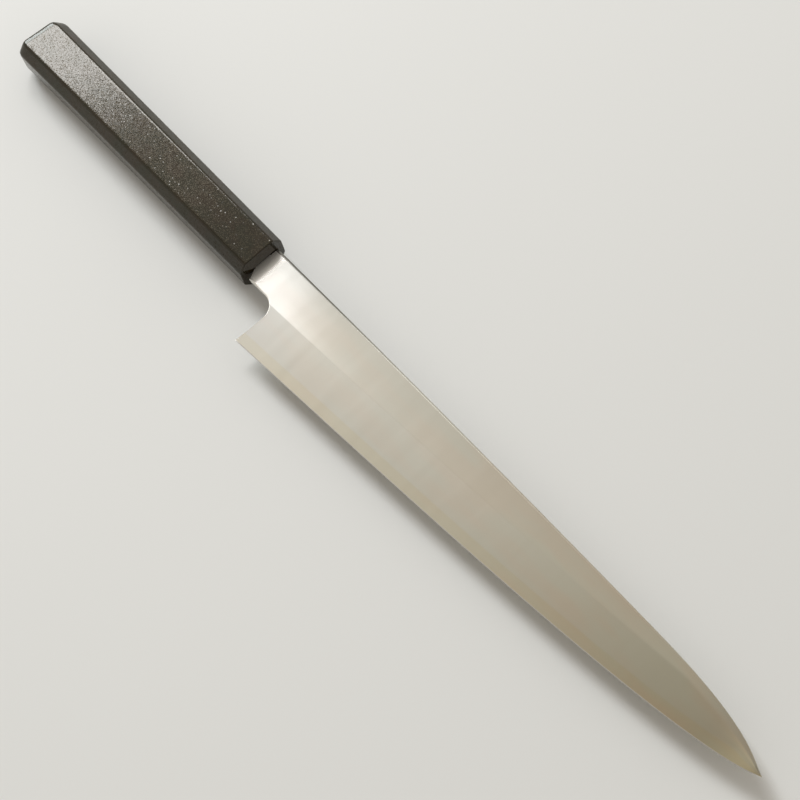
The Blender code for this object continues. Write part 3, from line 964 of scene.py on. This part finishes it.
        if on_edge:
            rim = min(self.micro_bevel, self.soft_share * (length - creases[1]))
        else:
            sink = min(self.rim_sink, self.rim_sink_most * half_at(*foot))
            rim = self.rim_ease * math.sqrt(sink / self.rim_sink)
        for share in (0.0, 0.5):
            put(0.0, zone=Zone.SPINE, half=share * (half_at(*top) - spine_ease))
        for step in range(self.rounding_steps + 1):
            turn = QUARTER_TURN * step / self.rounding_steps
            put(spine_ease * (1 - math.cos(turn)), spine_ease * (1 - math.sin(turn)), Zone.SPINE)
        soft = lerp(*self.ridge_soft, held(top[0] / self.tip[0]) ** 2)
        for down in self.side_places(spine_ease, creases, length - (1 + self.strip_share) * rim, soft):
            put(down)
        start_half = half_at(*(lerp(low, high, rim / length) for low, high in zip(foot, top)))
        for step in range(self.rim_rows + 1):
            share = step / self.rim_rows
            if on_edge:
                put(length - rim * (1 - share), zone=Zone.RIM, half=lerp(start_half, self.edge_half, share))
            else:
                turn = QUARTER_TURN * step / self.rim_rows
                put(length - rim * (1 - math.sin(turn)), sink * (1 - math.cos(turn)), Zone.RIM)
        last = rows[-1][0].z
        for share in (0.5, 0.0):
            put(length, zone=Zone.RIM, half=share * last)
        return rows

    def tang_sections(self) -> list[Section]:
        """Cut the tang into sections.

        Returns:
            The sections, from the tang's end to the neck's shoulder.
        """
        at_spine, at_edge, at_side = self.shoulders
        top_y = self.spine_y - at_spine
        under_y = self.neck_under_y + self.neck_cut[1] + at_edge
        middle = 0.5 * (top_y + under_y)
        front_thickness = self.spine_thickness[0] - self.hollow_to_ridge - 2 * at_side
        sections = []
        for step in range(self.tang_stations):
            share = step / (self.tang_stations - 1)
            x = lerp(-self.tang_length, self.fit_gap, share)
            height = lerp(self.tang_height_end, top_y - under_y, share)
            half = 0.5 * lerp(self.tang_thickness_end, front_thickness, share)
            creases = tuple(part * height for part in self.tang_creases)
            sections.append(self.half_section((x, middle + 0.5 * height), (x, middle - 0.5 * height),
                                              lambda px, py, half=half: half, self.rim_sink, creases, False))
        return sections

    def feet(self) -> list[tuple[Pair, bool]]:
        """The lower ends of the sections from the neck's shoulder to the heel.

        Returns:
            Each foot, and whether its section leans in the fan round the choil.
        """
        under, radius, start = self.neck_under_y, self.choil_radius, self.fit_gap
        arc_x, cut = self.choil_x - radius, self.neck_cut
        feet: list[tuple[Pair, bool]] = [((start, under + cut[1]), False),
                                         ((start + 0.5 * cut[0], under + 0.5 * cut[1]), False)]
        for step in range(self.neck_stations):
            feet.append(((lerp(start + cut[0], arc_x, step / self.neck_stations), under), False))
        for step in range(self.choil_stations):
            turn = QUARTER_TURN * step / (self.choil_stations - 1)
            feet.append(((arc_x + radius * math.sin(turn), under - radius * (1 - math.cos(turn))), True))
        drop = feet[-1][0][1] - self.heel_y
        corners = [Vector((x, y, 0.0)) for x, y in (
            feet[-1][0],
            (self.choil_x, self.heel_y + drop * 2 / 3),
            (lerp(self.choil_x, self.neck_length, self.heel_hollow), self.heel_y + drop / 3),
            (self.neck_length, self.heel_y),
        )]
        heel = interpolate_bezier(*corners, self.heel_stations + 1)
        return feet + [((point.x, point.y), True) for point in heel[1:]]

    def blade_sections(self) -> list[Section]:
        """Cut the blade into sections.

        Returns:
            The sections, from the neck's shoulder to the point.
        """
        feet = self.feet()
        spread = self.choil_radius
        fan_count = sum(leans for _, leans in feet)
        sections = []
        fanned = 0
        for foot, leans in feet:
            fanned += leans
            leaning_x = lerp(self.choil_x - spread, self.neck_length + spread, fanned / fan_count)
            sections.append(self.blade_section(leaning_x if leans else foot[0], foot, False))
        last_x = self.tip[0] - self.tip_blunt
        for step in range(1, self.edge_stations + 1):
            x = lerp(self.neck_length, last_x, math.sin(QUARTER_TURN * step / self.edge_stations))
            lead = spread * max(0.0, 1.0 - (x - self.neck_length) / (self.fan_reach * spread)) ** 2
            sections.append(self.blade_section(x + lead, (x, self.edge.at(x)), True))
        return sections

    def blade_section(self, top_x: float, foot: Pair, on_edge: bool) -> Section:
        """One section of the blade.

        Args:
            top_x: where it starts on the spine.
            foot: its lower end.
            on_edge: the foot is on the cutting edge.

        Returns:
            The right half of the section.
        """
        top = (top_x, self.spine.at(top_x))
        creases = (self.crossing(self.ridge_y, top, foot), self.crossing(self.band_y, top, foot))
        return self.half_section(top, foot, self.half_thickness, self.ease_at(top_x), creases, on_edge)

    def build(self, at: Vector, finish: Surface) -> Piece:
        """Build the blade from a half sheet and its mirror image.

        Args:
            at: the middle of the handle's front face, in the frame.
            finish: the steel.

        Returns:
            The piece.
        """
        bm = bmesh.new()
        zone = bm.verts.layers.float.new("zone")
        for vert, (point, value) in on_grid(bm, self.tang_sections() + self.blade_sections()):
            vert.co, vert[zone] = point, value
        half = bm.verts[:] + bm.edges[:] + bm.faces[:]
        bmesh.ops.mirror(bm, geom=half, matrix=Matrix(), merge_dist=WELD, axis="Z")
        bmesh.ops.remove_doubles(bm, verts=bm.verts, dist=WELD)
        bmesh.ops.holes_fill(bm, edges=[edge for edge in bm.edges if edge.is_boundary], sides=0)
        return finished("blade_and_tang", bm, at, finish)


@dataclass(frozen=True)
class Octagon:
    """One section of the handle."""

    height: float
    thickness: float
    facet: float
    side: float

    def towards(self, other: "Octagon", share: float) -> "Octagon":
        """The section a share of the way to another one."""
        return Octagon(*(lerp(mine, its, share) for mine, its in zip(astuple(self), astuple(other))))

    def outline(self, ease: float, steps: int, hold: float) -> list[Vector]:
        """The section's outline with its corners rounded.

        Args:
            ease: how far from each corner its rounding starts.
            steps: spans in a rounding.
            hold: how far beyond the rounding another point keeps the facet flat.

        Returns:
            Points in the YZ plane, all the way round.
        """
        h, t, f, s = (0.5 * size for size in (self.height, self.thickness, self.facet, self.side))
        corners = [Vector((0, y, z)) for y, z in
                   ((h, s), (f, t), (-f, t), (-h, s), (-h, -s), (-f, -t), (f, -t), (h, -s))]
        points: list[Vector] = []
        for place, corner in enumerate(corners):
            back = (corners[place - 1] - corner).normalized()
            ahead = (corners[(place + 1) % len(corners)] - corner).normalized()
            points.append(corner + back * (ease + hold))
            points += smooth_corner(corner + back * ease, corner, corner + ahead * ease, ARRIS_PULL, steps)
            points.append(corner + ahead * (ease + hold))
        return points


@dataclass
class Handle:
    """The lacquered octagonal handle: its body and its ferrule, flush and finished as one."""

    length: float = 0.1500
    front: Octagon = Octagon(height=0.0218, thickness=0.0185, facet=0.0148, side=0.0093)
    butt: Octagon = Octagon(height=0.0235, thickness=0.0194, facet=0.0162, side=0.0100)
    dome_radius: float = 0.0380
    crown_y: float = -0.0029
    butt_roll: float = 0.0005
    butt_roll_reach: float = 0.0146
    butt_roll_power: int = 8
    arris_ease: float = 0.0012
    butt_rim: float = 0.0011
    butt_rim_run: float = 0.0030
    front_rim: float = 0.0004
    ferrule_length: float = 0.0280
    front_wall: float = 0.0040
    bore_radius: float = 0.0065
    bore_end: float = -0.1066
    slot_top: float = 0.0048
    slot_under: float = -0.0048
    slot_half: float = 0.0017
    hold: float = 0.00015
    arris_steps: int = 10
    rim_steps: int = 5
    dome_steps: int = 8
    body_steps: int = 12
    ferrule_steps: int = 4

    def outline_at(self, x: float) -> list[Vector]:
        """The outline of the section at x, in the YZ plane."""
        section = self.front.towards(self.butt, -x / self.length)
        return section.outline(self.arris_ease, self.arris_steps, self.hold)

    def dome(self, point: Vector) -> Vector:
        """Where the crowned butt is over a point of the section's plane.

        Args:
            point: the point.

        Returns:
            The place on the butt.
        """
        off_crown = math.hypot(point.y - self.crown_y, point.z)
        fall = self.dome_radius - math.sqrt(self.dome_radius ** 2 - off_crown ** 2)
        roll = self.butt_roll * (off_crown / self.butt_roll_reach) ** self.butt_roll_power
        return Vector((fall + roll - self.length, point.y, point.z))

    def side_ring(self, x: float) -> Ring:
        """A ring on the eight facets at x."""
        return [Vector((x, point.y, point.z)) for point in self.outline_at(x)]

    def bore_ring(self, x: float, radius: float) -> Ring:
        """A round ring at x whose points lie in the same directions as those of the outline."""
        return [Vector((x, *(point.normalized() * radius).yz)) for point in self.outline_at(x)]

    def slot_ring(self, x: float) -> Ring:
        """A ring on the walls of the tang's slot.

        Args:
            x: the place along the handle.

        Returns:
            The ring, whose points follow those of the outline.
        """
        half_height = 0.5 * (self.slot_top - self.slot_under)
        middle = 0.5 * (self.slot_top + self.slot_under)
        ring = []
        for point in self.outline_at(x):
            scale = min(half_height / max(abs(point.y), WELD), self.slot_half / max(abs(point.z), WELD))
            ring.append(Vector((x, middle + point.y * scale, point.z * scale)))
        return ring

    def butt_rings(self) -> list[Ring]:
        """Draw the butt in rings.

        Returns:
            The rings, from the middle of the crown over the rim to the side.
        """
        outline = self.outline_at(-self.length)
        inner = [point * (1 - self.butt_rim / point.length) for point in outline]
        rings = [[self.dome(point * (step / self.dome_steps)) for point in inner]
                 for step in range(self.dome_steps)]
        roundings = []
        for place, (point, inside) in enumerate(zip(outline, inner)):
            corner_x = self.dome(point).x
            corner, side = (self.side_ring(x)[place] for x in (corner_x, corner_x + self.butt_rim_run))
            roundings.append(smooth_corner(self.dome(inside), corner, side, ROUND_PULL, self.rim_steps))
        return rings + [list(ring) for ring in zip(*roundings)]

    def body_rings(self) -> list[Ring]:
        """Draw the body in rings.

        Returns:
            The rings of the butt, the facets, the joint's face and the dowel's bore.
        """
        start = self.dome(Vector((0, 0.5 * self.butt.height, 0.5 * self.butt.side))).x
        start += self.butt_rim_run + self.hold
        sides = [self.side_ring(lerp(start, -self.ferrule_length, step / self.body_steps))
                 for step in range(self.body_steps + 1)]
        return [*self.butt_rings(), *sides, self.bore_ring(-self.ferrule_length, self.bore_radius),
                self.bore_ring(self.bore_end, self.bore_radius), self.bore_ring(self.bore_end, 0.0)]

    def ferrule_rings(self) -> list[Ring]:
        """Draw the ferrule in rings.

        Returns:
            The rings of the joint, the facets, the front face, the tang's slot and the dowel's bore.
        """
        joint, rim = -self.ferrule_length, self.front_rim
        sides = [self.side_ring(lerp(joint, -rim - self.hold, step / self.ferrule_steps))
                 for step in range(self.ferrule_steps + 1)]
        face = self.side_ring(0.0)
        inner = [Vector((0.0, *(point * (1 - rim / point.length)).yz)) for point in face]
        roundings = [smooth_corner(side, corner, inside, ROUND_PULL, self.rim_steps)
                     for side, corner, inside in zip(self.side_ring(-rim), face, inner)]
        return [self.bore_ring(joint, self.bore_radius), *sides, *(list(ring) for ring in zip(*roundings)),
                [point * (1 - self.hold / point.length) for point in inner],
                self.slot_ring(0.0), self.slot_ring(-self.front_wall),
                self.bore_ring(-self.front_wall, self.bore_radius)]

    def build_body(self, at: Vector, finish: Surface) -> Piece:
        """Build the body, with the middle of the handle's front face at this place in the frame."""
        return finished("lacquered_body", lofted(self.body_rings()), at, finish)

    def build_ferrule(self, at: Vector, finish: Surface) -> Piece:
        """Build the ferrule, with the middle of its front face at this place in the frame."""
        return finished("lacquered_ferrule", lofted(self.ferrule_rings(), endless=True), at, finish)


@dataclass(frozen=True)
class Softbox:
    """A soft lamp with an even face, hung at a distance from the knife's butt."""

    name: str
    direction: Place
    distance: float
    size: Pair
    radiance: float
    colour: Colour

    def hang(self, butt: Vector) -> Piece:
        """Put the lamp into the scene.

        Args:
            butt: where the butt is, which the lamp faces.

        Returns:
            The lamp.
        """
        lamp = bpy.data.lights.new(self.name, "AREA")
        lamp.shape = "RECTANGLE"
        lamp.size, lamp.size_y = self.size
        lamp.energy = self.radiance * math.pi * self.size[0] * self.size[1]
        lamp.color = self.colour
        holder = bpy.data.objects.new(self.name, lamp)
        holder.location = butt + Vector(self.direction).normalized() * self.distance
        holder.rotation_euler = (butt - holder.location).to_track_quat("-Z", "Y").to_euler()
        bpy.context.scene.collection.objects.link(holder)
        return holder


@dataclass
class Studio:
    """A pale floor, soft light and the camera."""

    floor_colour: Colour = (0.74, 0.73, 0.705)
    floor_shade: float = 0.97
    floor_patches_per_metre: float = 3.0
    floor_roughness: float = 0.85
    floor_shine: float = 0.2
    floor_side: float = 12.0
    floor_drop: float = 0.0002
    walls: Colour = (0.64, 0.62, 0.58)
    ceiling: Colour = (0.27, 0.25, 0.22)
    walls_to_ceiling: Pair = (0.55, 0.90)
    glow_from: Place = (-0.60, 0.25, 0.76)
    glows: tuple[tuple[float, float, Colour], ...] = (     # strength, narrowness and colour of each
        (0.40, 60.0, (1.0, 1.0, 1.0)),
        (0.50, 8.0, (1.0, 0.95, 0.86)),
    )
    lamps: tuple[Softbox, ...] = (
        Softbox("window_light", direction=(-0.5700, 0.2310, 0.7885), distance=1.25, size=(0.65, 0.28),
                radiance=13.0, colour=(0.985, 1.0, 1.035)),
        Softbox("low_light", direction=(-0.84, 0.146, 0.52), distance=3.4, size=(0.907, 1.417),
                radiance=13.0, colour=(0.86, 0.95, 1.0)),
    )
    camera_place: Place = (0.372950, -0.143700, 0.872748)
    camera_aim: Place = (0.011889, 0.010952, 0.0)
    camera_roll: float = -19.764
    focal_length: float = 109.143

    def lay_floor(self) -> Piece:
        """Lay a plain pale floor under the knife.

        Returns:
            The floor.
        """
        bm = bmesh.new()
        bmesh.ops.create_grid(bm, x_segments=1, y_segments=1, size=0.5 * self.floor_side)
        material, g, shader = principled("pale_floor", Roughness=self.floor_roughness,
                                         Specular_IOR_Level=self.floor_shine)
        patch = g.noise(g.place(), detail=2.0, scale=self.floor_patches_per_metre)
        shade = tuple(self.floor_shade * value for value in self.floor_colour)
        g.feed(shader, Base_Color=g.mix(patch, rgba(shade), rgba(self.floor_colour)))
        floor = finished("floor", bm, Vector((0, 0, -self.floor_drop)), material)
        return floor

    def light_world(self) -> None:
        """Set up pale walls, a dimmer ceiling and a soft glow round the window light."""
        world = bpy.data.worlds.new("studio")
        bpy.context.scene.world = world
        world.use_nodes = True
        g = Graph(world.node_tree)
        direction = g.add("ShaderNodeTexCoord").outputs["Generated"]
        height = g.add("ShaderNodeSeparateXYZ", {0: direction}).outputs[2]
        colour = g.mix(g.span(height, *self.walls_to_ceiling), rgba(self.walls), rgba(self.ceiling))
        glow_centre = Vector(self.glow_from).normalized()
        facing = g.math("MAXIMUM", g.vector("DOT_PRODUCT", direction, glow_centre), 0.0)
        for strength, narrowness, tint in self.glows:
            glow = g.product(g.math("POWER", facing, narrowness), strength)
            colour = g.mix(glow, colour, rgba(tint), "ADD")
        g.feed(world.node_tree.nodes["Background"], Color=colour)

    def set_camera(self) -> Piece:
        """Put the camera where the photograph was taken from.

        Returns:
            The camera.
        """
        lens = bpy.data.cameras.new("camera")
        lens.lens = self.focal_length
        camera = bpy.data.objects.new("camera", lens)
        place = Vector(self.camera_place)
        aim = (Vector(self.camera_aim) - place).to_track_quat("-Z", "Y").to_matrix().to_4x4()
        roll = Matrix.Rotation(math.radians(self.camera_roll), 4, "Z")
        camera.matrix_world = Matrix.Translation(place) @ aim @ roll
        bpy.context.scene.collection.objects.link(camera)
        bpy.context.scene.camera = camera
        return camera

    def build(self, butt: Vector) -> None:
        """Set the whole studio up round the knife.

        Args:
            butt: the upper side of the handle's butt, which the lamps face.
        """
        bpy.context.scene.view_settings.view_transform = "Standard"
        self.lay_floor()
        self.light_world()
        for lamp in self.lamps:
            lamp.hang(butt)
        self.set_camera()


def mount(piece: Piece, slot: Finish, *nodes: str) -> None:
    """Let a piece ride on the knife in place of the frame's nodes, and report it.

    Args:
        piece: the finished piece.
        slot: the slot for its finish; not used.
        nodes: the nodes that it stands for.
    """
    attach(piece, "root")
    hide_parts(*nodes)
    log.info("%s: %d faces, for %s", piece.name, len(piece.data.polygons), ", ".join(nodes))


def main() -> None:
    """Build the knife around the frame, and the studio round it."""
    logging.basicConfig(level=logging.INFO, format="%(name)s: %(message)s")
    ferrule_low, ferrule_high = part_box("ferrule")
    front = Vector((ferrule_high.x, *(0.5 * (ferrule_low + ferrule_high)).yz))
    effects = Effects(grain_group(), flake_group())

    blade = Blade()
    ridge_y = blade.spine_y - blade.ridge_below_spine
    steel = SatinSteel().material(effects, front.x + blade.neck_length, front.x + blade.tip[0],
                                  (front.y + ridge_y, front.y + blade.spine_y))
    mount(blade.build(front, steel), Finish.STEEL, "blade")

    handle = Handle()
    body_lacquer, ferrule_lacquer = (FlakeLacquer(slot.value).material(effects, front.x)
                                     for slot in (Finish.HANDLE, Finish.FERRULE))
    mount(handle.build_body(front, body_lacquer), Finish.HANDLE, "handle_body")
    mount(handle.build_ferrule(front, ferrule_lacquer), Finish.FERRULE, "ferrule")

    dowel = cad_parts["tang_dowel"]
    dowel.data.materials.clear()
    dowel.data.materials.append(DowelWood().material(effects))
    log.info("tang_dowel: the frame's own solid, in wood")

    butt = Vector((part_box("handle_body")[0].x, front.y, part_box("handle_body")[1].z))
    Studio().build(butt)


if __name__ == "__main__":
    main()
